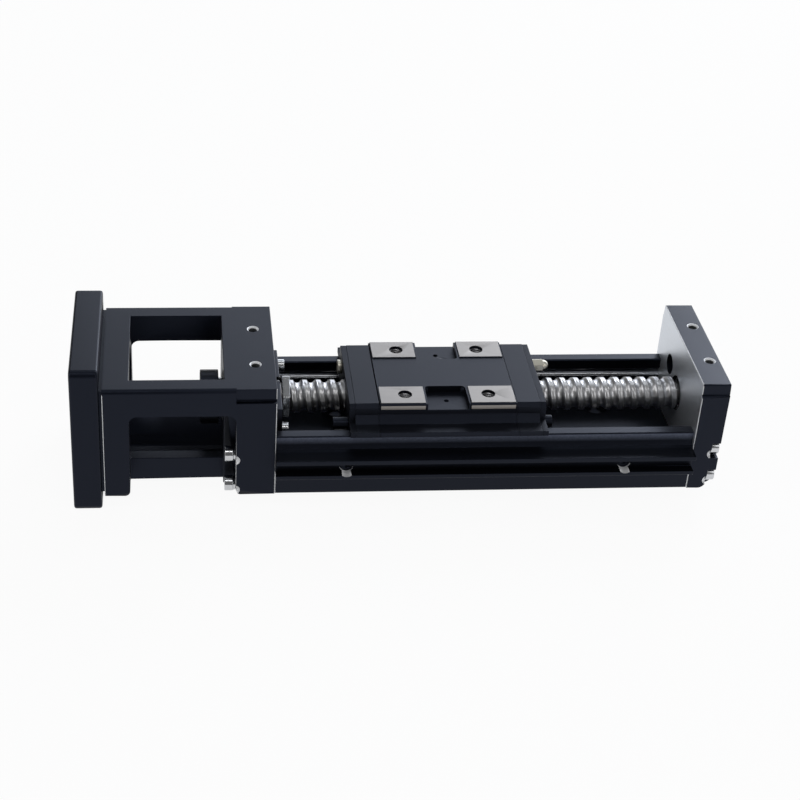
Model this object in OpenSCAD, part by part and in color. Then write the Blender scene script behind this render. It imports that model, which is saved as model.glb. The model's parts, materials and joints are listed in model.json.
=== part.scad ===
// Compact ball screw linear module: a U-shaped guide rail with a carriage
// driven by a rolled-in ball screw, a bearing housing with an open coupling
// chamber and motor adapter plate at one end, a floating bearing block at
// the other. Length runs along X, the base plane is z = 0, the origin is
// the middle of the rail's mounting hole pattern on that plane.

/* [Rail] */
// Length of the guide rail
rail_l = 150; // [150:50:400]
// Height of the rail side walls above the base plane
rail_h = 23.3; // [22:0.1:26]
// Width of the rail foot, also of the end blocks
foot_w = 57.5; // [56:0.5:62]
// Clear width of the channel between the side walls
channel_w = 45; // [42:0.5:46]
// Thickness of each side wall at its top
wall_t = 4.4; // [3.5:0.1:5]
// Thickness of the channel floor
floor_t = 7; // [5:0.5:8]
// How far the side ribs stand out from the foot
rib_out = 5.2; // [2:0.1:7]
// Radius of the raceway grooves
race_r = 1.7; // [1.2:0.1:2]
// Height of the upper raceway
race_z_hi = 17.8; // [17:0.1:18.5]
// Height of the lower raceway
race_z_lo = 11.2; // [10.5:0.1:12]
// Distance between the mounting hole rows along the rail
base_pitch_x = 100; // [50:50:350]
// Distance between the mounting hole rows across the rail
base_pitch_y = 30; // [26:1:32]
// Diameter of the rail mounting holes
base_hole_d = 5.5; // [4.5:0.1:6]
// Diameter of the counterbores in the channel floor
base_cbore_d = 9.5; // [8:0.1:11]
// Distance between the sensor bracket holes in the side grooves
side_pitch = 100; // [50:50:350]
// Thread size of the sensor bracket holes
side_hole_d = 2.6; // [2:0.1:3]
// Diameter of the spot faces round the sensor bracket holes
side_spot_d = 4.9; // [4:0.1:5]

/* [Ball screw] */
// Outer diameter of the ball screw
screw_d = 12; // [10:0.5:12]
// Lead of the ball screw
lead = 5; // [4:0.5:6]
// Height of the screw axis above the base plane
axis_z = 22.8; // [22:0.1:24]
// Radius of the ball groove
groove_r = 1.7; // [1.4:0.05:1.8]
// How far the circle of the nut balls lies outside the screw
ball_out = 0.6; // [0.4:0.05:0.8]
// Diameter of the journal in the fixed bearing
journal_d = 10; // [8:0.5:11]
// Diameter of the drive end, also of the far journal
drive_d = 8; // [6:0.5:9]
// Length of the drive end beyond the lock nut
drive_l = 16; // [10:1:20]

/* [Carriage] */
// Rest position of the carriage middle, from the motor end of the rail
car_x = 61.4; // [47:0.1:100]
// Length of the steel carriage block
block_l = 49.5; // [45:0.5:55]
// Length of each end cap
cap_l = 8.4; // [6:0.1:9]
// Thickness of each end seal
seal_t = 2.1; // [1.5:0.1:3]
// Height of the mounting face
top_z = 33; // [32:0.1:35]
// Width of the upper part of the carriage
neck_w = 42; // [41:0.1:43]
// Width over the side wings
wing_w = 57.4; // [56:0.1:57.5]
// Height of the wing top faces
wing_z = 25.8; // [25.2:0.1:26.5]
// How far the foot of the neck slopes out onto the wings
root_out = 2.3; // [1:0.1:2.6]
// Height of the end cap tops
cap_z = 32.3; // [31.5:0.1:32.5]
// Chamfer along the top edges of the end caps
cap_c = 1.4; // [0.5:0.1:2]
// Distance between the mounting threads along the rail
car_pitch_x = 30; // [28:1:32]
// Distance between the mounting threads across the rail
car_pitch_y = 30; // [28:1:32]
// Thread size of the carriage mounting threads
car_thread_d = 5; // [4:0.5:5]
// Depth of the carriage mounting threads
car_thread_l = 8; // [5:0.5:8]
// Height of the ground pads above the black top face
pad_h = 0.45; // [0.2:0.05:1]
// Chamfer along the outer edges of the ground pads
pad_c = 0.8; // [0.3:0.1:1.2]

/* [Housing] */
// Length of the bearing and coupling housing
house_l = 60.2; // [58:0.1:70]
// Height of the housing and of the end block
house_h = 44.2; // [43:0.1:46]
// Thickness of the motor side flange
flange_t = 9; // [8:0.1:12]
// Thickness of the bearing wall
bearing_wall = 18.2; // [17:0.1:22]
// Width of the top opening
window_w = 43; // [40:0.5:44]
// Diameter of the coupling bore
bore_d = 39; // [38:0.5:41]
// Height of the underside of the top side bars
window_z = 33.6; // [33:0.1:36]
// Radius of the corners of the side windows
window_r = 3; // [1:0.5:4]
// Radius of the long top edges beside the coupling chamber
edge_r = 1.6; // [0.5:0.1:2]
// Depth of the cover seats in the housing's side faces
seat_d = 0.5; // [0.3:0.1:1]
// Distance between the cover screw threads
cover_pitch = 24; // [20:1:30]
// Thread size of the cover screw threads
cover_thread_d = 3; // [2.5:0.5:4]

/* [End block] */
// Thickness of the end block
end_t = 10.1; // [9.5:0.1:13]
// Radius of its lower outer edge
end_r = 3; // [1:0.5:4]
// Length of the screw heads, sunk flush in its outer face
head_l = 3; // [2.5:0.5:3.5]

/* [Motor plate] */
// Side of the square motor adapter plate
plate_w = 58; // [56:0.5:60]
// Radius of its long corners
plate_r = 2.4; // [1:0.1:5]
// Thickness of the motor adapter plate
plate_t = 10; // [8:0.5:12]
// Gap between plate and housing, bridged by the register
plate_gap = 1; // [0.5:0.1:2]
// Diameter of the motor pilot bore
pilot_d = 38.1; // [36:0.1:38.2]
// Distance between the motor bolt holes
motor_pitch = 47.14; // [46:0.01:48]
// Thread size of the motor bolt holes
motor_thread_d = 5; // [4:0.5:5]

/* [Bearings] */
// Outer diameter of the fixed bearings
fix_od = 22; // [20:0.5:24]
// Width of one fixed bearing
fix_w = 6; // [5:0.5:6]
// Outer diameter of the far bearing
far_od = 16; // [14:0.5:16]
// Width of the far bearing
far_w = 5; // [4:0.5:5]
// Diameter of the lock nut
nut_d = 20; // [18:0.5:22]
// Length of the lock nut
nut_l = 6.6; // [5:0.1:7]

/* [Clearances] */
// Radial gap of rolling and running fits
run_gap = 0.05; // [0.02:0.01:0.1]
// Gap between carriage and rail
car_gap = 0.5; // [0.3:0.1:0.8]
// Radial gap of the screw in the carriage
screw_gap = 0.5; // [0.3:0.1:1]

/* [Hidden] */
$fn = 48;
xl = -rail_l/2;
xr = rail_l/2;
xc = xl + car_x;
car_l = block_l + 2*cap_l + 2*seal_t;
chan_h = channel_w/2;
wall_out = chan_h + wall_t;
foot_h = foot_w/2;
rib_h = foot_h + rib_out;
low_w = channel_w - 2*car_gap - 0.8;
ball_r = race_r - run_gap - 0.05;
race_y = chan_h - 0.45;
nut_ball_r = groove_r - 0.3;
screw_r = screw_d/2;
ball_pcr = screw_r + ball_out;
groove_x = sqrt(groove_r*groove_r - pow(ball_pcr - screw_r, 2));
thread_x0 = xl + 1.15;
thread_x1 = xr - 1;
side_z = 12.9;
bolt_y = 25.4;
house_bolts = [2.8, 15.5];
end_bolts = [4.6, 16.2];
far_x = xr + 1.4;
nip_y = 11.6;
nip_z = 28;
low_z = floor_t + 2.4;
body_z = top_z - pad_h;
car_x0 = xc - car_l/2;
car_x1 = xc + car_l/2;
plate_x = xl - house_l - plate_gap - plate_t;
nut_x = xl - bearing_wall - 1.4 - nut_l;
spacer_r = journal_d/2 + 2.2;
keeper_y = chan_h - 2.5;
keeper_bolt_y = (fix_od/2 + chan_h)/2 - 1.25;
seat_x = xr + end_t - head_l;

// Which piece to show

// Cylinder lying along X from x0, centred on y, z.
module xcyl(x0, l, r, y = 0, z = axis_z) {
  translate([x0, y, z])
    rotate([0, 90, 0])
      cylinder(h = l, r = r);
}

// Tube lying along X.
module xtube(x0, l, ro, ri, y = 0, z = axis_z) {
  difference() {
    xcyl(x0, l, ro, y, z);
    xcyl(x0 - 1, l + 2, ri, y, z);
  }
}

// Bar along Y from y0 with one corner at x, z, hollowed to radius r: added
// in an inner corner it is a fillet, taken from an outer one a rounding.
// sx and sz point from the corner towards the centre of the radius.
module corner_y(x, z, sx, sz, r, y0, l) {
  difference() {
    translate([x + (sx - 1)*r/2, y0, z + (sz - 1)*r/2])
      cube([r, l, r]);
    translate([x + sx*r, y0 - 1, z + sz*r])
      rotate([-90, 0, 0])
        cylinder(h = l + 2, r = r);
  }
}

// The same along X from x0, with the corner at y, z.
module corner_x(y, z, sy, sz, r, x0, l) {
  difference() {
    translate([x0, y + (sy - 1)*r/2, z + (sz - 1)*r/2])
      cube([l, r, r]);
    xcyl(x0 - 1, l + 2, r, y + sy*r, z + sz*r);
  }
}

// Hexagonal bar lying along X, wide across its flats.
module xhex(x0, l, flats, y = 0, z = axis_z) {
  translate([x0, y, z])
    rotate([0, 90, 0])
      cylinder(h = l, r = flats/sqrt(3), $fn = 6);
}

// Extrusion of a Y-Z outline along X from x0.
module xprism(x0, l) {
  translate([x0, 0, 0])
    rotate([90, 0, 90])
      linear_extrude(height = l)
        children();
}

// Box given by its lower corner and its upper corner.
module span(a, b) {
  translate(a)
    cube([b[0] - a[0], b[1] - a[1], b[2] - a[2]]);
}

// Socket head screw along X: head from x0 towards dir, shank the other way.
module cap_screw(x0, dir, y, z, hd, hl, sd, sl) {
  translate([x0, y, z])
    rotate([0, 90*dir, 0])
      difference() {
        union() {
          cylinder(h = hl, r = hd/2);
          translate([0, 0, -sl])
            cylinder(h = sl + 0.5, r = sd/2);
        }
        translate([0, 0, hl*0.45])
          cylinder(h = hl, r = sd*0.48, $fn = 6);
      }
}

module motor_plate() {
  r = plate_r;
  h = plate_w/2;
  color([0.16, 0.17, 0.2])
    difference() {
      union() {
        span([plate_x, -h + r, axis_z - h], [plate_x + plate_t, h - r, axis_z + h]);
        span([plate_x, -h, axis_z - h + r], [plate_x + plate_t, h, axis_z + h - r]);
        for (sy = [-1, 1])
          for (sz = [-1, 1])
            xcyl(plate_x, plate_t, r, sy*(h - r), axis_z + sz*(h - r));
        span([plate_x + 1, -27.4, 1.2], [plate_x + plate_t + plate_gap, 27.4, house_h - 0.7]);
      }
      xcyl(plate_x - 1, plate_t + plate_gap + 2, pilot_d/2);
      for (sy = [-1, 1])
        for (sz = [-1, 1]) {
          xcyl(plate_x - 1, plate_t + 2, motor_thread_d/2, sy*motor_pitch/2, axis_z + sz*motor_pitch/2);
          xcyl(plate_x - 1, plate_t + 3, 1.7, sy*23.6, axis_z + sz*9);
          xcyl(plate_x - 1, 4.4, 3.1, sy*23.6, axis_z + sz*9);
        }
    }
}

module plate_screws() {
  color([0.75, 0.76, 0.78])
    for (sy = [-1, 1])
      for (sz = [-1, 1])
        cap_screw(plate_x + 3.4, -1, sy*23.6, axis_z + sz*9, 5.5, 3, 3, plate_t + plate_gap - 3.4 + 5);
}

module housing() {
  x0 = xl - house_l;
  xw = xl - bearing_wall;
  color([0.14, 0.15, 0.18])
    difference() {
      union() {
        span([x0, -foot_h, 0], [x0 + flange_t, foot_h, house_h]);
        span([x0, -foot_h, window_z], [xl - 1, foot_h, house_h]);
        span([xl - 14, -foot_h, 0], [xl, foot_h, house_h]);
        span([xw, -window_w/2, 0], [xl - 1, window_w/2, house_h]);
        span([x0, -18.3, 0], [xl - 1, 18.3, 8.8]);
        for (y = [-foot_h, 18]) {
          corner_y(x0 + flange_t, window_z, 1, -1, window_r, y, foot_h - 18);
          corner_y(xl - 14, window_z, -1, -1, window_r, y, foot_h - 18);
        }
      }
      for (y = [-foot_h - 1, 19]) {
        corner_y(x0 + flange_t, 0, -1, 1, 2, y, foot_h - 18);
        corner_y(xl - 14, 0, 1, 1, 2, y, foot_h - 18);
      }
      for (sy = [-1, 1])
        corner_x(sy*foot_h, house_h, -sy, -1, edge_r, x0 - 1, house_l - 13);
      span([x0 + flange_t, -window_w/2, window_z - 5], [xw, window_w/2, house_h + 1]);
      xcyl(x0 - 1, house_l - bearing_wall + 1, bore_d/2);
      xcyl(xl - 2*fix_w, 2*fix_w + 1, fix_od/2);
      xcyl(xl - bearing_wall - 1, bearing_wall, spacer_r + 1.3);
      for (sy = [-1, 1]) {
        span([xl - 14, sy*foot_h - seat_d, house_h - 4.1],
          [xl + 1, sy*foot_h + seat_d, house_h + 1]);
        span([xl - 14, sy*foot_h - 1.6, house_h - 5.55],
          [xl + 1, sy*foot_h + 1.6, house_h - 4.1]);
        translate([xl - 6.9, sy*cover_pitch/2, house_h - 8])
          cylinder(h = 9, r = cover_thread_d/2);
        translate([xl - 6.9, sy*cover_pitch/2, house_h - 0.65])
          cylinder(h = 0.66, r1 = cover_thread_d/2, r2 = 2.15);
        for (z = house_bolts) {
          xcyl(xl - 15, 16, 1.7, sy*bolt_y, z);
          translate([xl - 14.4, sy*(foot_h + 0.6), z - 0.8])
            sphere(r = 2, $fn = 24);
        }
        for (sz = [-1, 1]) {
          xcyl(x0 - 1, 7, 1.5, sy*23.6, axis_z + sz*9);
        }
        xcyl(xl - 6, 7, 1.25, sy*keeper_bolt_y, axis_z + sy*3.5);
      }
    }
}

module housing_screws() {
  color([0.78, 0.79, 0.81])
    for (y = [-bolt_y, bolt_y])
      for (z = house_bolts) {
        cap_screw(xl - 14.9, -1, y, z, 5.5, 3, 3, 14.9 + 8);
        xcyl(xl - 14.95, 0.95, 2.5, y, z);
      }
}

// Half outline of the rail, from the foot round the ribs to the channel.
rail_half = [
  [foot_h - 0.5, 0], [foot_h, 0.5], [foot_h, 9.5],
  [rib_h - 0.4, 9.5], [rib_h - 0.4, 11], [foot_h + 1.4, 11], [foot_h + 1.4, 15.8],
  [rib_h, 15.8], [rib_h, 17.5], [foot_h + 0.4, 17.6], [wall_out + 0.5, 18.4],
  [wall_out, 19.8], [wall_out, rail_h - 0.4], [wall_out - 0.4, rail_h],
  [chan_h + 0.4, rail_h], [chan_h, rail_h - 0.4], [chan_h, floor_t + 1],
  [chan_h - 1, floor_t]
];

// Closed outline from its right half, mirrored about the middle plane.
module mirrored(half) {
  n = len(half);
  polygon(concat(half, [for (i = [0:n - 1]) [-half[n - 1 - i][0], half[n - 1 - i][1]]]));
}

module rail() {
  color([0.17, 0.18, 0.21])
    difference() {
      xprism(xl, rail_l)
        mirrored(rail_half);
      for (sy = [-1, 1]) {
        for (z = [race_z_lo, race_z_hi])
          xcyl(xl - 1, rail_l + 2, race_r, sy*race_y, z);
        for (sx = [-1, 1]) {
          translate([sx*base_pitch_x/2, sy*base_pitch_y/2, -1])
            cylinder(h = floor_t + 2, r = base_hole_d/2);
          translate([sx*base_pitch_x/2, sy*base_pitch_y/2, floor_t - 3.2])
            cylinder(h = 5, r = base_cbore_d/2);
          translate([sx*side_pitch/2, sy*(foot_h - 3.2), side_z])
            rotate([-90*sy, 0, 0])
              cylinder(h = 5, r = side_hole_d/2);
          translate([sx*side_pitch/2, sy*(foot_h + 0.8), side_z])
            rotate([-90*sy, 0, 0])
              cylinder(h = 6, r = side_spot_d/2);
          for (z = sx < 0 ? house_bolts : end_bolts)
            xcyl(sx < 0 ? xl - 1 : xr - 11, 12, 1.5, sy*bolt_y, z);
        }
      }
    }
}

// One pitch of the ball groove: axial place and radius of each corner.
groove_pts = [
  [-groove_x, screw_r],
  [-groove_x*0.62, ball_pcr - sqrt(groove_r*groove_r - pow(groove_x*0.62, 2))],
  [0, ball_pcr - groove_r],
  [groove_x*0.62, ball_pcr - sqrt(groove_r*groove_r - pow(groove_x*0.62, 2))],
  [groove_x, screw_r]
];
groove_x0 = thread_x0 + 0.5 + groove_x;

// Threaded length: rows of corners follow the helix, both ends close flat.
module thread(x0, x1) {
  n = 20;
  turns = floor((x1 - x0 - 1)/lead) - 1;
  rows = 5*turns + 1;
  row = [for (i = [0:rows - 1])
    [groove_x0 + floor(i/5)*lead + groove_pts[i % 5][0], groove_pts[i % 5][1]]];
  body = [for (i = [0:rows - 1])
    for (j = [0:n - 1])
      [row[i][0] + lead*j/n, row[i][1]*cos(360*j/n), row[i][1]*sin(360*j/n)]];
  ring0 = [for (j = [0:n - 1]) [x0, screw_r*cos(360*j/n), screw_r*sin(360*j/n)]];
  ring1 = [for (j = [0:n - 1]) [x1, screw_r*cos(360*j/n), screw_r*sin(360*j/n)]];
  a0 = rows*n;
  a1 = a0 + n;
  q = (rows - 1)*n;
  g = q - 5*n + n - 1;
  wall = [for (i = [0:rows - 2])
    for (j = [0:n - 1])
      let (a = i*n + j, b = a + n,
        c = j < n - 1 ? b + 1 : (i + 6)*n, d = j < n - 1 ? a + 1 : (i + 5)*n)
      if (j < n - 1 || i < rows - 6)
        each [[a, b, c], [a, c, d]]];
  start = [for (j = [0:n - 2])
    each [[a0 + j, j, j + 1], [a0 + j, j + 1, a0 + j + 1]]];
  start_seam = [[a0 + n - 1, n - 1, 5*n], [a0 + n - 1, 5*n, 4*n], [a0 + n - 1, 4*n, 0],
    [a0 + n - 1, 0, a0], [0, 4*n, 3*n], [0, 3*n, 2*n], [0, 2*n, n]];
  fin = [for (j = [0:n - 2])
    each [[q + j, a1 + j, a1 + j + 1], [q + j, a1 + j + 1, q + j + 1]]];
  fin_seam = [[a1, q + n - 1, a1 + n - 1], [a1, g + 4*n, g + 5*n], [a1, g, g + 4*n],
    [a1, q, g], [g, g + n, g + 2*n], [g, g + 2*n, g + 3*n], [g, g + 3*n, g + 4*n]];
  translate([0, 0, axis_z])
    polyhedron(points = concat(body, ring0, ring1),
      faces = concat(wall, start, start_seam, fin, fin_seam,
        [[for (j = [0:n - 1]) a0 + j]], [[for (j = [0:n - 1]) a1 + n - 1 - j]]));
}

module ball_screw() {
  color([0.78, 0.79, 0.81]) {
    thread(thread_x0, thread_x1);
    xcyl(xl, thread_x0 - xl + 0.5, screw_r - 0.02);
    xcyl(nut_x, xl - nut_x + 0.5, journal_d/2);
    xcyl(nut_x - drive_l, drive_l + 0.5, drive_d/2);
    xcyl(thread_x1 - 0.5, far_x + far_w - thread_x1 + 0.5, drive_d/2);
  }
}

// Ring groove for a row of balls, centred on x.
module ball_track(x, pcr, r) {
  translate([x, 0, axis_z])
    rotate([0, 90, 0])
      rotate_extrude()
        translate([pcr, 0])
          circle(r = r);
}

// Row of balls round the screw axis.
module ball_row(x, pcr, r, n) {
  for (i = [0:n - 1])
    translate([x, pcr*cos(360*i/n), axis_z + pcr*sin(360*i/n)])
      sphere(r = r);
}

fix_pcr = (fix_od + journal_d)/4;
fix_ball = 1.45;
fix_rows = [xl - fix_w*1.5, xl - fix_w*0.5];
far_pcr = (far_od + drive_d)/4;
far_ball = 1;

module support_outer_rings() {
  color([0.72, 0.73, 0.75])
    difference() {
      xtube(xl - 2*fix_w, 2*fix_w, fix_od/2, fix_pcr + 1);
      for (x = fix_rows)
        ball_track(x, fix_pcr, fix_ball + run_gap);
    }
}

module support_inner_rings() {
  color([0.72, 0.73, 0.75])
    difference() {
      xtube(xl - 2*fix_w, 2*fix_w, fix_pcr - 1, journal_d/2);
      for (x = fix_rows)
        ball_track(x, fix_pcr, fix_ball + run_gap);
    }
}

module support_balls() {
  color([0.85, 0.86, 0.88])
    for (x = fix_rows)
      ball_row(x, fix_pcr, fix_ball, 9);
}

module bearing_spacer() {
  color([0.3, 0.31, 0.33])
    xtube(nut_x + nut_l, xl - 2*fix_w - nut_x - nut_l, spacer_r, journal_d/2);
}

// Radial hole of the lock nut, r above the axis, turned to the lower back.
module at_nut(r) {
  translate([nut_x + nut_l/2, 0, axis_z])
    rotate([-150, 0, 0])
      translate([0, 0, r])
        children();
}

module lock_nut() {
  color([0.12, 0.12, 0.13])
    difference() {
      xtube(nut_x, nut_l, nut_d/2, journal_d/2);
      for (a = [45, 135, 225, 315])
        translate([nut_x - 1, 0, axis_z])
          rotate([a, 0, 0])
            translate([0, -1.5, nut_d/2 - 1.4])
              cube([nut_l + 2, 3, 4]);
      at_nut(journal_d/2 - 0.5)
        cylinder(h = nut_d/2, r = 1.5);
    }
}

module lock_set_screw() {
  color([0.3, 0.3, 0.32])
    difference() {
      at_nut(journal_d/2 + 0.2)
        cylinder(h = 4, r = 1.5);
      at_nut(journal_d/2 + 2.4)
        cylinder(h = 4, r = 0.8, $fn = 6);
    }
}

module bearing_retainer() {
  color([0.12, 0.12, 0.14])
    difference() {
      span([xl, -keeper_y, 9], [xl + 2.6, keeper_y, 30.3]);
      xcyl(xl - 1, 5, screw_r + 1.6);
      for (s = [-1, 1])
        xcyl(xl - 1, 5, 1.45, s*keeper_bolt_y, axis_z + s*3.5);
    }
}

module retainer_screws() {
  color([0.78, 0.79, 0.81])
    for (s = [-1, 1])
      cap_screw(xl + 2.6, 1, s*keeper_bolt_y, axis_z + s*3.5, 4.5, 2.5, 2.5, 2.6 + 5);
}

module stop_collar() {
  color([0.75, 0.76, 0.78])
    difference() {
      xhex(xl + 3.3, 2.8, screw_d + 3);
      xcyl(xl + 3, 4, screw_r + 0.02);
    }
}

// Outline of the carriage below its neck.
car_low = [
  [low_w/2 - 2, low_z], [low_w/2, low_z + 2], [low_w/2, rail_h + car_gap],
  [wing_w/2, rail_h + car_gap], [wing_w/2, wing_z], [neck_w/2 + root_out, wing_z]
];

// Where the screws that hold end caps and seals sit.
cap_y1 = chan_h - 4.1;
cap_y2 = chan_h - 9;
far_bolts = [[-cap_y1, 23.1], [cap_y1, 23.1], [-cap_y2, 13], [cap_y2, 13]];
motor_bolts = [[-cap_y1, 23.1], [-cap_y2, 13], [cap_y2, 13]];

// One ground pad, standing a little proud of the side of the neck.
module pad(x0, l) {
  xprism(x0, l)
    polygon([
      [9.8, 30.5], [9.8, top_z], [neck_w/2 + 0.4 - pad_c, top_z],
      [neck_w/2 + 0.4, top_z - pad_c], [neck_w/2 + 0.4, 30.5]
    ]);
}

module carriage_block() {
  x0 = xc - block_l/2;
  color([0.2, 0.21, 0.24])
    difference() {
      union() {
        xprism(x0, block_l)
          mirrored(concat(car_low, [
            [neck_w/2, wing_z + root_out + 0.3], [neck_w/2, body_z - 0.4],
            [neck_w/2 - 0.4, body_z]
          ]));
        for (sx = [-1, 1])
          for (m = [0, 1])
            mirror([0, m, 0])
              pad(xc + sx*16.15 - 8.05, 16.1);
      }
      xcyl(x0 - 1, block_l + 2, screw_r + screw_gap);
      xcyl(xc - 8, 16, ball_pcr + nut_ball_r + 0.3);
      for (sy = [-1, 1]) {
        hull() {
          for (sx = [-1, 1])
            translate([xc + sx*5.8, sy*10.6, body_z - 2.4])
              cylinder(h = 4, r = 1.5);
          span([xc - 7.3, sy*18 - 5, body_z - 2.4], [xc + 7.3, sy*18 + 5, body_z + 1.6]);
        }
        translate([xc, sy*15.2, body_z - 5])
          cylinder(h = 4, r = 0.9);
        for (z = [race_z_lo, race_z_hi])
          xcyl(x0 - 1, block_l + 2, race_r, sy*race_y, z);
        for (sx = [-1, 1])
          translate([xc + sx*car_pitch_x/2, sy*car_pitch_y/2, top_z - car_thread_l])
            cylinder(h = car_thread_l + 1, r = car_thread_d/2);
      }
      for (p = motor_bolts)
        xcyl(x0 - 1, 8, 1.25, p[0], p[1]);
      for (p = far_bolts)
        xcyl(x0 + block_l - 7, 8, 1.25, p[0], p[1]);
    }
}

// End cap: its upper part stands a little proud of the lower one.
module cap_body(x0, bolts) {
  difference() {
    xprism(x0, cap_l)
      mirrored(concat(car_low, [
        [neck_w/2 - 0.3, wing_z + root_out + 0.3], [neck_w/2 - 0.3, 28.4], [neck_w/2, 28.4],
        [neck_w/2, cap_z - cap_c], [neck_w/2 - cap_c, cap_z]
      ]));
    xcyl(x0 - 1, cap_l + 2, screw_r + 0.8);
    for (p = bolts)
      xcyl(x0 - 1, cap_l + 2, 1.4, p[0], p[1]);
    xcyl(x0 - 1, cap_l + 2, 2, nip_y, nip_z);
  }
}

// End seal: straight sides down to the wings.
module seal_body(x0, bolts) {
  difference() {
    xprism(x0, seal_t)
      mirrored(concat(car_low, [
        [neck_w/2 + 0.2, wing_z], [neck_w/2 - 0.1, cap_z - cap_c - 0.1],
        [neck_w/2 - cap_c - 0.1, cap_z - 0.1]
      ]));
    xcyl(x0 - 1, seal_t + 2, screw_r + 0.35);
    for (p = bolts)
      xcyl(x0 - 1, seal_t + 2, 1.4, p[0], p[1]);
    xcyl(x0 - 1, seal_t + 2, 2, nip_y, nip_z);
  }
}

module end_cap_motor() {
  color([0.15, 0.16, 0.18])
    cap_body(car_x0 + seal_t, motor_bolts);
}

module end_cap_far() {
  color([0.15, 0.16, 0.18])
    cap_body(car_x1 - seal_t - cap_l, far_bolts);
}

module seal_motor() {
  color([0.13, 0.13, 0.15])
    seal_body(car_x0, motor_bolts);
}

module seal_far() {
  color([0.13, 0.13, 0.15])
    seal_body(car_x1 - seal_t, far_bolts);
}

module cap_screws_motor() {
  color([0.2, 0.2, 0.22])
    for (p = motor_bolts)
      cap_screw(car_x0, -1, p[0], p[1], 4.7, 5.6, 2.5, seal_t + cap_l + 5);
}

module cap_screws_far() {
  color([0.2, 0.2, 0.22])
    for (p = far_bolts)
      cap_screw(car_x1, 1, p[0], p[1], 4.7, 3, 2.5, seal_t + cap_l + 5);
}

module grease_nipple() {
  color([0.85, 0.84, 0.78]) {
    xcyl(car_x1 - 6, 6.5, 2, nip_y, nip_z);
    xhex(car_x1, 4.6, 4.3, nip_y, nip_z);
    xcyl(car_x1 + 4, 0.95, 1.95, nip_y, nip_z);
    translate([car_x1 + 4.95, nip_y, nip_z])
      sphere(r = 1.95);
  }
}

module grease_plug() {
  color([0.8, 0.8, 0.78])
    difference() {
      union() {
        xcyl(car_x0 - 1.6, 1.6, 2.6, nip_y, nip_z);
        xcyl(car_x0 - 0.5, 6, 2, nip_y, nip_z);
      }
      translate([car_x0 - 2, nip_y, nip_z])
        rotate([0, 90, 0])
          cylinder(h = 1.4, r = 1.15, $fn = 6);
    }
}

module raceway_balls() {
  color([0.85, 0.86, 0.88])
    for (sy = [-1, 1])
      for (z = [race_z_lo, race_z_hi])
        for (i = [-3:3])
          translate([xc + i*6.2, sy*race_y, z])
            sphere(r = ball_r);
}

module nut_balls() {
  k = round((xc - groove_x0)/lead);
  color([0.85, 0.86, 0.88])
    for (i = [-8:7])
      translate([groove_x0 + lead*(k + i/11), ball_pcr*cos(360*i/11), axis_z + ball_pcr*sin(360*i/11)])
        sphere(r = nut_ball_r);
}

module end_block() {
  color([0.3, 0.31, 0.35])
    difference() {
      span([xr, -foot_h, 0], [xr + end_t, foot_h, house_h]);
      corner_y(xr + end_t, 0, -1, 1, end_r, -foot_h - 1, foot_w + 2);
      for (y = [-foot_h - 1, bolt_y - 0.5])
        corner_y(seat_x, 0, -1, 1, end_r, y, foot_h - bolt_y + 1.5);
      for (m = [0, 1])
        mirror([0, m, 0])
          xprism(xr - 1, end_t + 2)
            polygon([
              [foot_h + 1, house_h + 1], [foot_h - 1.2, house_h + 1], [foot_h - 1.2, house_h],
              [foot_h - 0.8, house_h - 0.4], [foot_h - 0.8, house_h - 4.2],
              [foot_h - 0.2, house_h - 4.5], [foot_h, house_h - 5.3], [foot_h + 1, house_h - 5.3]
            ]);
      xcyl(xr - 1, 4, screw_r + 0.5);
      xcyl(far_x, end_t, far_od/2);
      xcyl(far_x + far_w, 0.9, far_od/2 + 0.4);
      xcyl(xr - 1, 7, 3.85, nip_y, nip_z);
      for (sy = [-1, 1]) {
        translate([xr + 6.4, sy*cover_pitch/2, house_h - 8])
          cylinder(h = 9, r = cover_thread_d/2);
        translate([xr + 6.4, sy*cover_pitch/2, house_h - 0.65])
          cylinder(h = 0.66, r1 = cover_thread_d/2, r2 = 2.15);
        for (z = end_bolts) {
          xcyl(xr - 1, 12, 1.7, sy*bolt_y, z);
          xcyl(seat_x, 4, 3.2, sy*bolt_y, z);
          span([seat_x, sy*(bolt_y + 3) - 3, z < 8 ? -1 : z - 3.2],
            [seat_x + 4, sy*(bolt_y + 3) + 3, z + 3.2]);
          translate([seat_x + 0.4, sy*(foot_h + 0.6), z - 1.2])
            sphere(r = 2, $fn = 24);
        }
      }
    }
}

module end_screws() {
  color([0.78, 0.79, 0.81])
    for (y = [-bolt_y, bolt_y])
      for (z = end_bolts)
        cap_screw(seat_x, 1, y, z, 5.5, head_l, 3, seat_x - xr + 8);
}

module far_outer_ring() {
  color([0.72, 0.73, 0.75])
    difference() {
      xtube(far_x, far_w, far_od/2, far_pcr + 0.7);
      ball_track(far_x + far_w/2, far_pcr, far_ball + run_gap);
    }
}

module far_inner_ring() {
  color([0.72, 0.73, 0.75])
    difference() {
      xtube(far_x, far_w, far_pcr - 0.7, drive_d/2);
      ball_track(far_x + far_w/2, far_pcr, far_ball + run_gap);
    }
}

module far_balls() {
  color([0.85, 0.86, 0.88])
    ball_row(far_x + far_w/2, far_pcr, far_ball, 9);
}

module far_snap_ring() {
  color([0.15, 0.15, 0.16])
    difference() {
      xtube(far_x + far_w, 0.9, far_od/2 + 0.35, far_od/2 - 1.2);
      span([far_x + far_w - 1, -1.5, axis_z - 10], [far_x + far_w + 1, 1.5, axis_z - 5]);
    }
}

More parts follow.
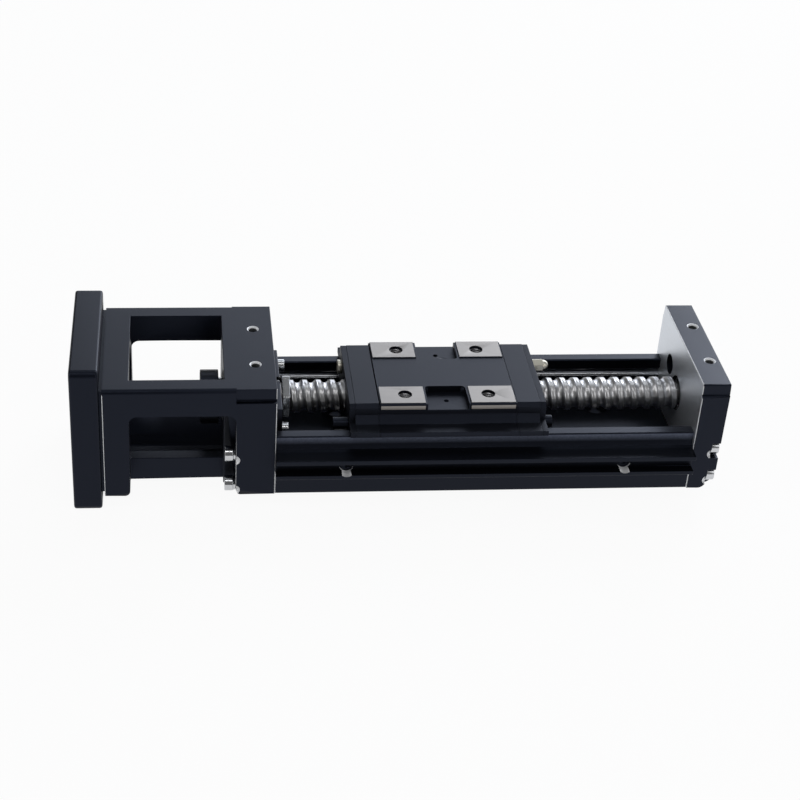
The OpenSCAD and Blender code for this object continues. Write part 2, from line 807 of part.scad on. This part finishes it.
motor_plate();
plate_screws();
housing();
housing_screws();
rail();
ball_screw();
support_outer_rings();
support_inner_rings();
support_balls();
bearing_spacer();
lock_nut();
lock_set_screw();
bearing_retainer();
retainer_screws();
stop_collar();
carriage_block();
end_cap_motor();
end_cap_far();
seal_motor();
seal_far();
cap_screws_motor();
cap_screws_far();
grease_nipple();
grease_plug();
raceway_balls();
nut_balls();
end_block();
end_screws();
far_outer_ring();
far_inner_ring();
far_balls();
far_snap_ring();
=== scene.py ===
import json
import math

import bmesh
import bpy
from mathutils import Matrix, Vector


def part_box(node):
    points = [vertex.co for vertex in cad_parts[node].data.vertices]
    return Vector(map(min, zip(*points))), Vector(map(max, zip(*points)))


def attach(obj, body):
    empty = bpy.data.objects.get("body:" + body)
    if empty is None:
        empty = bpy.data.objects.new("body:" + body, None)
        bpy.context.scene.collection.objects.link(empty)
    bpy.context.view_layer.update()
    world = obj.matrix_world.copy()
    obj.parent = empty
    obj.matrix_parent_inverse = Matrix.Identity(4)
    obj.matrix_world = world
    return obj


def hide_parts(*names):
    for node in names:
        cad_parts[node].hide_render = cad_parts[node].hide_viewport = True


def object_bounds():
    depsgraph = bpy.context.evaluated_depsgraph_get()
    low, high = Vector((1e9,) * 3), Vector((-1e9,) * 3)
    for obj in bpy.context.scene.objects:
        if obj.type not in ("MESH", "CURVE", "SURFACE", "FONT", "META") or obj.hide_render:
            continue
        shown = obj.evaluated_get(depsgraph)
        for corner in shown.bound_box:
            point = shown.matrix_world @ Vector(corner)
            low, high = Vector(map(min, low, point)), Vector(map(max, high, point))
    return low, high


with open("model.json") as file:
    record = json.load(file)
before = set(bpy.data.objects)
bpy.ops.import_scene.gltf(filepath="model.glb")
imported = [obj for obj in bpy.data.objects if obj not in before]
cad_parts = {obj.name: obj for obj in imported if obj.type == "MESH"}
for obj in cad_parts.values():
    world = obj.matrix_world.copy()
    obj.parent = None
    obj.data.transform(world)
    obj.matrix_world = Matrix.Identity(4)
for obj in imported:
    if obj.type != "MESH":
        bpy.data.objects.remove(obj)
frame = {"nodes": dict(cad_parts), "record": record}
cad_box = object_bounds()

# ---------------------------------------------------------------- studio
# A pale table under soft light. The motor plate hangs a little lower than
# the base plane, so the table lies at the lowest point of the module.
MM = 0.001
WHITE = (1, 1, 1)
RAIL_LOW, RAIL_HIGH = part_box("rail")
TABLE_Z = cad_box[0][2]
CAMERA_AT = (RAIL_LOW[0] - 33.91 * MM, -523.29 * MM, 367.77 * MM)
CAMERA_AZIMUTH, CAMERA_ELEVATION, CAMERA_ROLL = -0.10336, 0.56303, 0.04738


def camera_axes(azimuth, elevation, roll):
    """The right, up and back directions of a camera, as the columns of a matrix."""
    flat = math.cos(elevation)
    back = Vector((math.sin(azimuth) * flat, -math.cos(azimuth) * flat, math.sin(elevation)))
    right = Vector((math.cos(azimuth), math.sin(azimuth), 0))
    up = back.cross(right)
    c, s = math.cos(roll), math.sin(roll)
    return Matrix((c * right + s * up, c * up - s * right, back)).transposed()


camera = bpy.data.objects.new("camera", bpy.data.cameras.new("camera"))
bpy.context.collection.objects.link(camera)
camera.data.lens = 77.53
camera.data.sensor_width = 36
camera.data.shift_x = 0.0884
camera.data.shift_y = -0.0427
camera.data.clip_start = 0.01
camera.data.clip_end = 50
camera.matrix_world = Matrix.Translation(CAMERA_AT) @ camera_axes(
    CAMERA_AZIMUTH, CAMERA_ELEVATION, CAMERA_ROLL).to_4x4()
bpy.context.scene.camera = camera
bpy.context.scene.view_settings.view_transform = "Standard"


def softbox(name, place, target, width, height, watts, tint=WHITE):
    """A rectangular lamp that faces a target, in metres."""
    lamp = bpy.data.lights.new(name, "AREA")
    lamp.shape = "RECTANGLE"
    lamp.color = tint
    lamp.size, lamp.size_y, lamp.energy = width, height, watts
    holder = bpy.data.objects.new(name, lamp)
    holder.location = place
    holder.rotation_euler = (Vector(target) - Vector(place)).to_track_quat("-Z", "Y").to_euler()
    bpy.context.collection.objects.link(holder)


softbox("backdrop", (1.0, 1.5, 0.75), (0.1, 0, 0.05), 3.2, 1.5, 27.0, (0.84, 0.9, 1.0))
softbox("back_right", (0.95, 1.5, 1.0), (0.08, 0, 0.04), 0.5, 0.8, 10.0, (0.92, 0.95, 1.0))
softbox("overhead", (0.1, 0.35, 1.2), (0, 0, 0), 1.0, 0.4, 1.8, (0.9, 0.95, 1.0))
softbox("strip", (-0.15, -0.55, 1.15), (0, 0, 0), 1.2, 0.12, 2.2)
softbox("left_fill", (-1.3, -0.3, 0.6), (0, 0, 0.02), 0.8, 0.8, 4.0)
softbox("right_fill", (0.9, -1.0, 0.6), (0, 0, 0.02), 0.8, 0.8, 3.5)

ROOM_LIGHT = 0.15
world = bpy.data.worlds.new("studio")
bpy.context.scene.world = world
world.use_nodes = True
sky = world.node_tree.nodes["Background"]
rays = world.node_tree.nodes.new("ShaderNodeLightPath")
strength = world.node_tree.nodes.new("ShaderNodeMapRange")
strength.inputs["To Min"].default_value = ROOM_LIGHT
strength.inputs["To Max"].default_value = 1.0
world.node_tree.links.new(rays.outputs["Is Camera Ray"], strength.inputs["Value"])
world.node_tree.links.new(strength.outputs[0], sky.inputs["Strength"])
sky.inputs["Color"].default_value = (*WHITE, 1)


class Wire:
    """A value in a material: + and * on it, and above(), add its Math nodes."""

    def __init__(self, finish, socket):
        self.finish, self.socket = finish, socket

    def math(self, operation, *values):
        return self.finish.node("Math", {"operation": operation}, *values)

    def __add__(self, other):
        return self.math("ADD", self, other)

    def __radd__(self, other):
        return self.math("ADD", other, self)

    def __mul__(self, other):
        return self.math("MULTIPLY", self, other)

    def __rmul__(self, other):
        return self.math("MULTIPLY", other, self)

    def above(self, edge, soft):
        """0 below edge, 1 above it, turning over twice soft."""
        return self.finish.node("MapRange", {}, self, edge - soft, edge + soft)


class Finish:
    """One material: its principled shader, and the nodes that feed it."""

    def __init__(self, name, colour, roughness, metallic=0.0, **settings):
        self.material = bpy.data.materials.new(name)
        self.material.use_nodes = True
        self.tree = self.material.node_tree
        self.shader = self.tree.nodes["Principled BSDF"]
        self.set("Base Color", colour)
        self.set("Roughness", roughness)
        self.set("Metallic", metallic)
        for socket, value in settings.items():
            self.set(socket.replace("_", " "), value)
        self.place = self.node("TexCoord", {}, out="Object")

    def node(self, kind, settings, *values, out=0, **named):
        """Adds a node: its settings first, then the values or wires of its sockets."""
        made = self.tree.nodes.new("ShaderNode" + kind)
        for key, value in settings.items():
            setattr(made, key, value)
        for key, value in list(enumerate(values)) + list(named.items()):
            self.join(value, made.inputs[key])
        return Wire(self, made.outputs[out])

    def join(self, value, socket):
        if isinstance(value, Wire):
            self.tree.links.new(value.socket, socket)
        elif socket.type == "RGBA" and len(value) == 3:
            socket.default_value = (*value, 1)
        else:
            socket.default_value = value

    def set(self, socket, value):
        self.join(value, self.shader.inputs[socket])

    def noise(self, scale, detail=3.0, stretch=(1, 1, 1)):
        spot = self.node("VectorMath", {"operation": "MULTIPLY"}, self.place, stretch)
        return self.node("TexNoise", {}, Vector=spot, Scale=scale, Detail=detail,
                         Roughness=0.55)

    def mix(self, amount, low, high):
        """The colour low where amount is 0, high where it is 1."""
        mixed = self.tree.nodes.new("ShaderNodeMix")
        mixed.data_type = "RGBA"
        for socket, value in ((0, amount), (6, low), (7, high)):
            self.join(value, mixed.inputs[socket])
        return Wire(self, mixed.outputs[2])

    def bump(self, height, distance):
        self.set("Normal", self.node("Bump", {}, 1.0, distance, Height=height))


# The table is matt white. The camera sees it lifted towards white, which
# leaves only a faint contact shadow under the module.
table_mesh = bmesh.new()
bmesh.ops.create_grid(table_mesh, x_segments=1, y_segments=1, size=8)
bmesh.ops.translate(table_mesh, verts=table_mesh.verts, vec=(0, 0, TABLE_Z))
table = bpy.data.objects.new("table", bpy.data.meshes.new("table"))
table_mesh.to_mesh(table.data)
table_mesh.free()
bpy.context.collection.objects.link(table)
matt = Finish("table_white", (0.86, 0.86, 0.86), 0.9)
glow = matt.node("Emission", {}, WHITE, 1.0)
seen = matt.node("LightPath", {}, out="Is Camera Ray")
mirrored = matt.node("LightPath", {}, out="Is Glossy Ray")
lifted = matt.node("MixShader", {}, seen * 0.94 + mirrored * 0.75,
                   Wire(matt, matt.shader.outputs[0]), glow)
matt.tree.links.new(lifted.socket, matt.tree.nodes["Material Output"].inputs["Surface"])
table.data.materials.append(matt.material)

# ----------------------------------------------------------- motor plate
# A square aluminium plate that takes the motor: turned pilot bore, tapped
# corner holes, outer edges rounded, blasted and black anodised. Four zinc
# plated cap screws in counterbores hold it to the housing.
AXIS_Z = 22.8 * MM
PLATE_HALF = 28 * MM
PLATE_ROUND = 0.9 * MM
STRAIGHT_ON = math.radians(0.6)
SHARP_EDGE = math.radians(28)


def anodised(name, colour=(0.0016, 0.0021, 0.0042), roughness=0.4, grain=4e-6):
    """Black dyed oxide with a cool sheen, slightly cloudy and finely grained."""
    made = Finish(name, colour, roughness, Specular_IOR_Level=0.27,
                  Specular_Tint=(0.58, 0.68, 1.0, 1))
    cloud = made.noise(28, 4)
    fine = made.noise(2600, 2)
    made.set("Base Color", made.mix(cloud * 0.7 + fine * 0.3, [c * 0.7 for c in colour],
                                    [c * 1.4 for c in colour]))
    made.set("Roughness", roughness - 0.05 + 0.06 * cloud + 0.05 * fine)
    made.bump(fine, grain)
    return made


def plated(name, colour, roughness):
    """Bright metal with faint smears from plating or grinding."""
    made = Finish(name, colour, roughness, 1.0)
    smear = made.noise(900)
    made.set("Base Color", made.mix(smear, [c * 0.8 for c in colour], colour))
    made.set("Roughness", roughness - 0.05 + 0.14 * smear)
    made.bump(smear, 1e-6)
    return made


def merged_copy(node, flat=True):
    """A welded copy of a CAD node's mesh, its flat faces made whole."""
    shape = bmesh.new()
    shape.from_mesh(frame["nodes"][node].data)
    bmesh.ops.remove_doubles(shape, verts=shape.verts, dist=2e-6)
    if flat:
        bmesh.ops.dissolve_limit(
            shape, angle_limit=STRAIGHT_ON, verts=shape.verts, edges=shape.edges)
    return shape


def break_edges(shape, width, segments=2, shortest=0.0, where=None):
    """Rounds the sharp edges of a shape that are longer than a length."""
    edges = [e for e in shape.edges if len(e.link_faces) == 2
             and e.calc_face_angle(0) > SHARP_EDGE and e.calc_length() > shortest
             and (where is None or all(where(v.co) for v in e.verts))]
    bmesh.ops.bevel(shape, geom=edges, offset=width, offset_type="OFFSET", affect="EDGES",
                    segments=segments, profile=0.5, material=-1, clamp_overlap=False)


def is_level(face):
    """Whether a many-sided face is flat, with no slight bend to its neighbours."""
    return len(face.verts) > 4 and not any(
        0.02 < e.calc_face_angle(0) < 0.3 for e in face.edges if len(e.link_faces) == 2)


body_of = {node: body for body, nodes in frame["record"]["behaviour"]["bodies"].items()
           for node in nodes}


def stand_for(name, shape, finishes, node, smooth=40):
    """Turns a mesh into the shown piece of a CAD node, smooth up to some degrees."""
    piece = bpy.data.objects.new(name, bpy.data.meshes.new(name))
    shape.faces.index_update()
    level = [face.index for face in shape.faces if is_level(face)]
    shape.to_mesh(piece.data)
    shape.free()
    bpy.context.collection.objects.link(piece)
    for made in finishes:
        piece.data.materials.append(made.material)
    piece.data.shade_smooth()
    for index in level:
        piece.data.polygons[index].use_smooth = False
    piece.data.set_sharp_from_angle(angle=math.radians(smooth))
    weighted = piece.modifiers.new("face_normals", "WEIGHTED_NORMAL")
    weighted.keep_sharp = True
    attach(piece, body_of[node])
    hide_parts(node)


def small_part(name, node, made, width=0.15):
    """Shows a CAD node in one finish, its edges broken by a width in mm."""
    shape = merged_copy(node)
    break_edges(shape, width * MM)
    stand_for(name, shape, [made], node)


plate = merged_copy("motor_plate")
break_edges(plate, PLATE_ROUND, 3,
            where=lambda v: max(abs(v.y), abs(v.z - AXIS_Z)) > PLATE_HALF)
stand_for("plate_body", plate, [anodised("black_anodised_plate")], "motor_plate")
bright_zinc = plated("bright_zinc", (0.62, 0.63, 0.65), 0.22)
small_part("plate_cap_screws", "plate_screws", bright_zinc)

# --------------------------------------------------------------- housing
# Bearing and coupling housing, milled from one aluminium block and black
# anodised; its upright edges, countersinks and screw seats are cut bare
# afterwards. The bare cuts are shown near white and mostly diffuse, a
# painted glint, and the walls of the holes a dim grey, painted shade
# inside them. Four cap screws hold it to the end of the rail.
COUNTERSINK_Y = 12 * MM
COUNTERSINK_R = 2.6 * MM
DRILLED_R = 2.2 * MM
SEAT_Y = 29.35 * MM
SEAT_R = 2 * MM


def bare(name, colour, roughness, along=(1, 1, 1)):
    """Cut aluminium or steel, with fine tool lines along one direction."""
    made = Finish(name, colour, roughness, 1.0)
    lines = made.noise(300, 3, along)
    made.set("Base Color", made.mix(lines, [c * 0.75 for c in colour], colour))
    made.set("Roughness", roughness - 0.05 + 0.15 * lines)
    made.bump(lines, 2e-5)
    return made


def paint(shape, index, test):
    """Gives faces a material by the middle and the normal of each."""
    for face in shape.faces:
        if test(face.calc_center_median(), face.normal):
            face.material_index = index


def paint_block(shape, top, hole_x, seat_x, seat_heights, edge_index, hole_index):
    """Bares a block's two countersunk holes, and the round seats of its side screws: rims and
    seats in the edge finish, a painted glint, hole walls in the dim hole finish, painted shade.
    """
    def off_hole(c):
        return math.hypot(c.x - hole_x, abs(c.y) - COUNTERSINK_Y)

    def off_seat(c, height):
        seat = Vector((seat_x, SEAT_Y, height))
        return abs((Vector((c.x, abs(c.y), c.z)) - seat).length - SEAT_R)

    paint(shape, edge_index, lambda c, n: 0.3 < n.z < 0.95 and c.z > top - 0.8 * MM
          and off_hole(c) < COUNTERSINK_R)
    paint(shape, hole_index, lambda c, n: abs(n.z) < 0.5 and c.z > top - 12 * MM
          and off_hole(c) < DRILLED_R)
    paint(shape, edge_index, lambda c, n: any(off_seat(c, height) < 0.1 * MM
                                              for height in seat_heights))


# Painted glint: bare cut edges are made near white and mostly diffuse, so they look bright from
# every side; the metal is really bare there.
bare_edge_painted_glint = bare("bare_edge_painted_glint", (0.92, 0.93, 0.95), 0.4)
bare_edge_painted_glint.set("Metallic", 0.25)
# Painted shade: the bare aluminium walls of the holes are made a dim grey for the shade inside
# them.
drilled_painted_shade = bare("drilled_wall_painted_shade", (0.4, 0.41, 0.42), 0.4)
housing = merged_copy("housing")
break_edges(housing, 0.24 * MM, shortest=2.4 * MM)
low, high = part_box("housing")
seat_end = high[0] - 14 * MM
bare_x = (low[0], low[0] + 9 * MM, seat_end, high[0])
# Painted glint on the bevels of the upright edges at the housing's ends.
paint(housing, 1, lambda c, n: 0.2 < abs(n.x) < 0.97 and abs(n.y) > 0.2 and abs(c.y) > 26 * MM
      and min(abs(c.x - x) for x in bare_x) < 0.28 * MM
      and (abs(c.x - seat_end) > 1 * MM or c.z < 33 * MM))
paint_block(housing, high[2], high[0] - 6.9 * MM, high[0] - 14.4 * MM, (2.0 * MM, 14.7 * MM), 1, 2)
stand_for("housing_body", housing, [anodised("black_anodised_housing"), bare_edge_painted_glint, drilled_painted_shade],
          "housing")
cap_steel = plated("dark_steel", (0.66, 0.67, 0.69), 0.14)
small_part("housing_cap_screws", "housing_screws", cap_steel, 0.25)

# ------------------------------------------------------------------ rail
# U-shaped guide rail of hardened steel with a black surface treatment;
# its outer sides are left as drawn, their upper band painted paler
# towards the top as painted light; its top lands and raceways are ground,
# and the rims of the side holes and the corners of the ends are bare.
# The bare corners are shown near white and mostly diffuse, a painted
# glint, and of each side-hole rim only the lower, upward-facing arc is
# made bright, a painted highlight.
FLANK_Z = 21.6 * MM
RACE_HEIGHTS = (11.2 * MM, 17.8 * MM)
SIDE_HOLE = (50 * MM, 12.9 * MM)
RIM_R = 2.43 * MM

black_rail = anodised("black_rail", (0.002, 0.0022, 0.003), 0.33, 3e-6)
# The rail's outer side: a drawn surface with its own speckle, made paler above FLANK_Z as painted
# light on the upper flank.
drawn_side_painted_light = anodised("drawn_rail_side_painted_light", (0.005, 0.0055, 0.0075), 0.5)
height = drawn_side_painted_light.node("SeparateXYZ", {}, drawn_side_painted_light.place, out="Z")
speckle = drawn_side_painted_light.noise(1500)
# Painted light: the paler band above FLANK_Z.
pale = height.above(FLANK_Z, 1.6 * MM) * (0.45 + 0.75 * speckle)
drawn_side_painted_light.set("Base Color", drawn_side_painted_light.mix(pale, (0.003, 0.0035, 0.005), (0.15, 0.17, 0.23)))
drawn_side_painted_light.bump(speckle, 4e-5)
ground_land = anodised("ground_rail_land", (0.008, 0.009, 0.012), 0.3, 3e-6)
ground_race = plated("ground_raceway", (0.35, 0.36, 0.38), 0.18)
rail = merged_copy("rail")
break_edges(rail, 0.14 * MM, shortest=0.6 * MM)
paint(rail, 1, lambda c, n: abs(n.y) > 0.9 and abs(c.y) > 25 * MM and c.z > 19 * MM)
paint(rail, 2, lambda c, n: n.z > 0.9 and c.z > 23 * MM)
paint(rail, 3, lambda c, n: 20 * MM < abs(c.y) < 23.9 * MM and abs(n.x) < 0.5
      and min(abs(c.z - z) for z in RACE_HEIGHTS) < 1.65 * MM
      and abs(abs(c.y) - 22.5 * MM) > 0.02 * MM)
# Painted highlight: only the lower, upward-facing arc of each side-hole rim gets the bright edge
# finish.
paint(rail, 4, lambda c, n: n.z > 0.2 and abs(c.y) > 28.2 * MM and abs(
    math.hypot(abs(c.x) - SIDE_HOLE[0], c.z - SIDE_HOLE[1]) - RIM_R) < 0.12 * MM)
# Painted glint on the bevels of the lower end corners.
paint(rail, 4, lambda c, n: 0.3 < abs(n.x) < 0.97 and abs(n.y) > 0.2
      and abs(c.y) > 28 * MM and c.z < 10 * MM)
stand_for("rail_body", rail, [black_rail, drawn_side_painted_light, ground_land, ground_race, bare_edge_painted_glint], "rail")

# ------------------------------------------------------------ ball screw
# Rolled and polished steel screw, 12 mm across with a 5 mm lead: a round
# ball groove between crowned lands, plain journals turned at both ends.
LEAD = 5 * MM
SCREW_R = 6 * MM
GROOVE_R = 1.7 * MM
TRACK_R = 6.6 * MM
JOURNAL_R = 4 * MM
STEPS = 72
groove_half = math.sqrt(GROOVE_R**2 - (TRACK_R - SCREW_R) ** 2)
land = LEAD - 2 * groove_half
THREAD = (RAIL_LOW[0] + 1.15 * MM, RAIL_HIGH[0] - 1 * MM)
GROOVE_START = THREAD[0] + 0.5 * MM + groove_half

outline = []
for i in range(13):
    a = math.asin(groove_half / GROOVE_R) * (i / 6 - 1)
    outline.append((GROOVE_R * math.sin(a), TRACK_R - GROOVE_R * math.cos(a)))
for share, dip in ((0.1, 0.12), (0.28, 0.04), (0.5, 0.02), (0.72, 0.04), (0.9, 0.12)):
    outline.append((groove_half + share * land, SCREW_R - dip * MM))
outline.insert(0, (outline[-1][0] - LEAD, outline[-1][1]))


def spun(shape, points, middle, axis, **turning):
    """Sweeps a line of points round an axis through middle."""
    verts = [shape.verts.new(point) for point in points]
    edges = [shape.edges.new(pair) for pair in zip(verts, verts[1:])]
    bmesh.ops.spin(shape, geom=verts + edges, cent=middle, axis=axis,
                   use_duplicate=False, **turning)


def whole(shape):
    return shape.verts[:] + shape.edges[:] + shape.faces[:]


screw = bmesh.new()
spun(screw, [(GROOVE_START - LEAD * 2 + x, r, AXIS_Z) for x, r in outline], (0, 0, AXIS_Z),
     (1, 0, 0), dvec=(LEAD / STEPS, 0, 0), angle=2 * math.pi, steps=STEPS, use_merge=False)
one_turn = whole(screw)
for turn in range(1, math.ceil((THREAD[1] - THREAD[0]) / LEAD) + 3):
    copy = bmesh.ops.duplicate(screw, geom=one_turn)["geom"]
    bmesh.ops.translate(screw, verts=[g for g in copy if isinstance(g, bmesh.types.BMVert)],
                        vec=(turn * LEAD, 0, 0))
bmesh.ops.remove_doubles(screw, verts=screw.verts, dist=3e-6)
for x, away in ((THREAD[0], -1), (THREAD[1], 1)):
    cut = bmesh.ops.bisect_plane(screw, geom=whole(screw), dist=1e-7, plane_co=(x, 0, 0),
                                 plane_no=(away, 0, 0), clear_outer=True)
    rim = [g for g in cut["geom_cut"] if isinstance(g, bmesh.types.BMEdge)]
    bmesh.ops.edgeloop_fill(screw, edges=rim)
bmesh.ops.recalc_face_normals(screw, faces=screw.faces)


def turned(stations):
    """A closed turned bar along the screw axis through (x, radius) stations."""
    bar = bmesh.new()
    spun(bar, [(x, r, AXIS_Z) for x, r in stations], (0, 0, AXIS_Z), (1, 0, 0),
         angle=2 * math.pi, steps=64, use_merge=True)
    bmesh.ops.remove_doubles(bar, verts=bar.verts, dist=1e-6)
    bmesh.ops.recalc_face_normals(bar, faces=bar.faces)
    return bar


polished = Finish("polished_screw", (0.6, 0.61, 0.63), 0.24, 1.0)
haze = polished.noise(140, 3, (3, 1, 1))
polished.set("Base Color", polished.mix(haze, (0.46, 0.46, 0.47), (0.66, 0.66, 0.67)))
polished.set("Roughness", 0.3 + 0.1 * haze)
stand_for("screw_shaft_thread", screw, [polished], "ball_screw", 50)
drive_end, far_end = (corner[0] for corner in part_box("ball_screw"))
stand_for("screw_shaft_journal", turned([
    (drive_end, 0), (drive_end, 3.5 * MM), (drive_end + 0.5 * MM, JOURNAL_R),
    (drive_end + 16 * MM, JOURNAL_R), (drive_end + 16 * MM, 4.9 * MM),
    (drive_end + 16.1 * MM, 5 * MM), (RAIL_LOW[0], 5 * MM), (RAIL_LOW[0], 5.9 * MM),
    (RAIL_LOW[0] + 0.1 * MM, 5.98 * MM), (THREAD[0] + 0.2 * MM, 5.98 * MM),
    (THREAD[0] + 0.2 * MM, 0)]), [polished], "ball_screw")
stand_for("screw_shaft_far", turned([
    (THREAD[1] - 0.2 * MM, 0), (THREAD[1] - 0.2 * MM, JOURNAL_R),
    (far_end - 0.4 * MM, JOURNAL_R), (far_end, 3.6 * MM), (far_end, 0)]),
    [polished], "ball_screw")

# -------------------------------------------------------- fixed bearings
# A pair of angular contact bearings in the housing: hardened and ground
# steel rings with lapped balls, and a turned sleeve behind the inner pair.
ring_steel = plated("ring_steel", (0.6, 0.61, 0.63), 0.2)
ball_steel = plated("ball_steel", (0.75, 0.76, 0.78), 0.08)


def balls(name, node):
    stand_for(name, merged_copy(node, False), [ball_steel], node, 60)


small_part("fixed_outer_rings", "support_outer_rings", ring_steel)
small_part("fixed_inner_rings", "support_inner_rings", ring_steel)
small_part("spacer_sleeve", "bearing_spacer", ring_steel)
balls("fixed_bearing_balls", "support_balls")

# -------------------------------------------------------------- lock nut
# Slotted steel nut, blackened in hot oxide. It is screwed up against the
# sleeve to clamp the inner rings, and its set screw stops it turning.
black_oxide = anodised("black_oxide", (0.002, 0.002, 0.0023), 0.35)
small_part("slotted_nut", "lock_nut", black_oxide, 0.3)
small_part("nut_set_screw", "lock_set_screw", black_oxide, 0.1)

# -------------------------------------------------------- bearing keeper
# Flat blackened steel plate over the outer rings, held by two zinc plated
# cap screws. The six-sided stop ring in front of it sits on the screw.
small_part("keeper_plate", "bearing_retainer", black_oxide, 0.3)
small_part("keeper_screws", "retainer_screws", bright_zinc, 0.2)
small_part("hex_stop_ring", "stop_collar", bright_zinc, 0.3)

# -------------------------------------------------------------- carriage
# Hardened steel block with a satin black top. The four mounting pads are
# ground bright after blackening, and its top ends meet the caps unevenly.
PAD_LINES = (0.04, 1, 1)
PAD_EDGE_Y = 21.2 * MM
POCKET_HALF = 9.5 * MM
SEAM_PARTS = 30


def ground(name, colour):
    """Ground steel: long fine lines and a slight unevenness."""
    made = Finish(name, colour, 0.32, 1.0)
    lines = made.noise(900, 3, PAD_LINES)
    broad = made.noise(60, 2)
    made.set("Base Color", made.mix(lines * 0.6 + broad * 0.4, [c * 0.82 for c in colour],
                                    [c * 1.12 for c in colour]))
    made.set("Roughness", 0.26 + 0.16 * lines)
    made.bump(lines, 1.2e-5)
    return made


block = merged_copy("carriage_block")
block_low, block_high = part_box("carriage_block")
block_mid = (block_low[0] + block_high[0]) / 2
block_top = block_high[2]


def at_end(v):
    return min(v.x - block_low[0], block_high[0] - v.x) < 0.01 * MM


def on_rear_pocket_floor(v):
    return 29 * MM < v.z < 31 * MM and v.y > 8 * MM and abs(v.x - block_mid) < POCKET_HALF


break_edges(block, 0.18 * MM, shortest=1.2 * MM, where=lambda v: not (
    v.z > 32.4 * MM and at_end(v) or on_rear_pocket_floor(v)))
seam = [e for e in block.edges if e.calc_length() > 4 * MM
        and all(v.co.z > 32.5 * MM and at_end(v.co) for v in e.verts)]
for edge in seam:
    for parts_left in range(SEAM_PARTS, 1, -1):
        edge = bmesh.utils.edge_split(edge, edge.verts[0], 1 / parts_left)[0]
for v in block.verts:
    if v.co.z > 32.5 * MM and at_end(v.co):
        dent = 0.3 + 0.25 * math.sin(3.7 * v.co.y / MM) + 0.2 * math.sin(9.1 * v.co.y / MM)
        v.co.x += math.copysign(max(0.05, dent) * MM, block_mid - v.co.x)
paint(block, 1, lambda c, n: n.z > 0.9 and c.z > block_top - 0.2 * MM)
paint(block, 1, lambda c, n: c.z > block_top - 2.6 * MM and abs(n.y) > 0.9
      and abs(c.y) > PAD_EDGE_Y)
stand_for("carriage_body", block, [
    anodised("black_carriage", (0.003, 0.0032, 0.0045), 0.38, 4e-6),
    ground("ground_pad", (0.29, 0.272, 0.256))], "carriage_block")

# The four mounting holes are tapped M5: each has a helical thread lining.
PITCH = 0.8 * MM
THREAD_TURNS = 9
THREAD_STEPS = 32
HOLE_SPREAD = 15 * MM
RIDGE = ((2.47, -8.6), (2.12, -8.2), (2.12, -8.1), (2.47, -7.8))
lining = bmesh.new()
for x in (block_mid - HOLE_SPREAD, block_mid + HOLE_SPREAD):
    for y in (-HOLE_SPREAD, HOLE_SPREAD):
        spun(lining, [(x + r * MM, y, block_top + z * MM) for r, z in RIDGE], (x, y, 0),
             (0, 0, 1), dvec=(0, 0, PITCH / THREAD_STEPS), angle=2 * math.pi * THREAD_TURNS,
             steps=THREAD_STEPS * THREAD_TURNS, use_merge=False)
bmesh.ops.remove_doubles(lining, verts=lining.verts, dist=1e-6)
bmesh.ops.bisect_plane(lining, geom=whole(lining), dist=1e-7,
                       plane_co=(0, 0, block_top - 0.15 * MM), plane_no=(0, 0, 1),
                       clear_outer=True)
bmesh.ops.recalc_face_normals(lining, faces=lining.faces)
stand_for("pad_threads", lining, [plated("tapped_steel", (0.22, 0.22, 0.23), 0.28)],
          "carriage_block")

# -------------------------------------------------------------- end caps
# Glass-filled nylon end caps that return the balls, and double-lip rubber
# seals outside them. Blackened screws go through both into the block.
moulded = anodised("moulded_nylon", (0.004, 0.0044, 0.0055), 0.45, 8e-6)
seal_rubber = anodised("seal_rubber", (0.003, 0.0032, 0.004), 0.5, 8e-6)
small_part("cap_motor_side", "end_cap_motor", moulded, 0.12)
small_part("cap_far_side", "end_cap_far", moulded, 0.12)
small_part("seal_motor_side", "seal_motor", seal_rubber, 0.12)
small_part("seal_far_side", "seal_far", seal_rubber, 0.12)
small_part("cap_screws_a", "cap_screws_motor", black_oxide, 0.25)
small_part("cap_screws_b", "cap_screws_far", black_oxide, 0.25)

# ---------------------------------------------------------- grease ports
# Nickel plated brass: a grease nipple screwed into the far cap and a plug
# that closes the same port on the motor side.
nickel = plated("nickel", (0.66, 0.63, 0.54), 0.36)
small_part("nipple_body", "grease_nipple", nickel)
small_part("plug_body", "grease_plug", nickel)

# -------------------------------------------------------- carriage balls
# Lapped bearing steel balls, loose in the raceways between rail and block
# and in the groove between screw and block.
balls("rail_balls", "raceway_balls")
balls("screw_balls", "nut_balls")

# ------------------------------------------------------------- end block
# Floating bearing block, milled from aluminium and black anodised, its
# inner face left machined. Four cap screws hold it to the end of the rail.
bare_face = bare("machined_aluminium", (0.82, 0.86, 0.92), 0.34, (1, 1, 30))
bare_face.set("Metallic", 0.9)
end = merged_copy("end_block")
break_edges(end, 0.24 * MM, shortest=1.2 * MM)
low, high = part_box("end_block")
paint(end, 2, lambda c, n: n.x < -0.9 and c.x < low[0] + 0.1 * MM)
# Painted glint on the inner face's top and side edge bevels.
paint(end, 1, lambda c, n: -0.97 < n.x < -0.1 and c.x < low[0] + 0.34 * MM
      and (c.z > high[2] - 0.4 * MM or abs(c.y) > 27 * MM))
# Painted glint on the countersinks and seats, painted shade on the walls of the holes.
paint_block(end, high[2], low[0] + 6.4 * MM, high[0] - 2.6 * MM, (3.4 * MM, 15.0 * MM), 1, 3)
stand_for("end_body", end, [anodised("black_anodised_end"), bare_edge_painted_glint, bare_face, drilled_painted_shade],
          "end_block")
small_part("end_cap_screws", "end_screws", cap_steel, 0.25)

# ----------------------------------------------------------- far bearing
# Deep groove ball bearing of hardened steel that lets the screw's far end
# float, kept in the end block by a blackened spring steel snap ring.
small_part("far_bearing_outer", "far_outer_ring", ring_steel)
small_part("far_bearing_inner", "far_inner_ring", ring_steel)
balls("far_bearing_balls", "far_balls")
small_part("circlip", "far_snap_ring", black_oxide, 0.1)
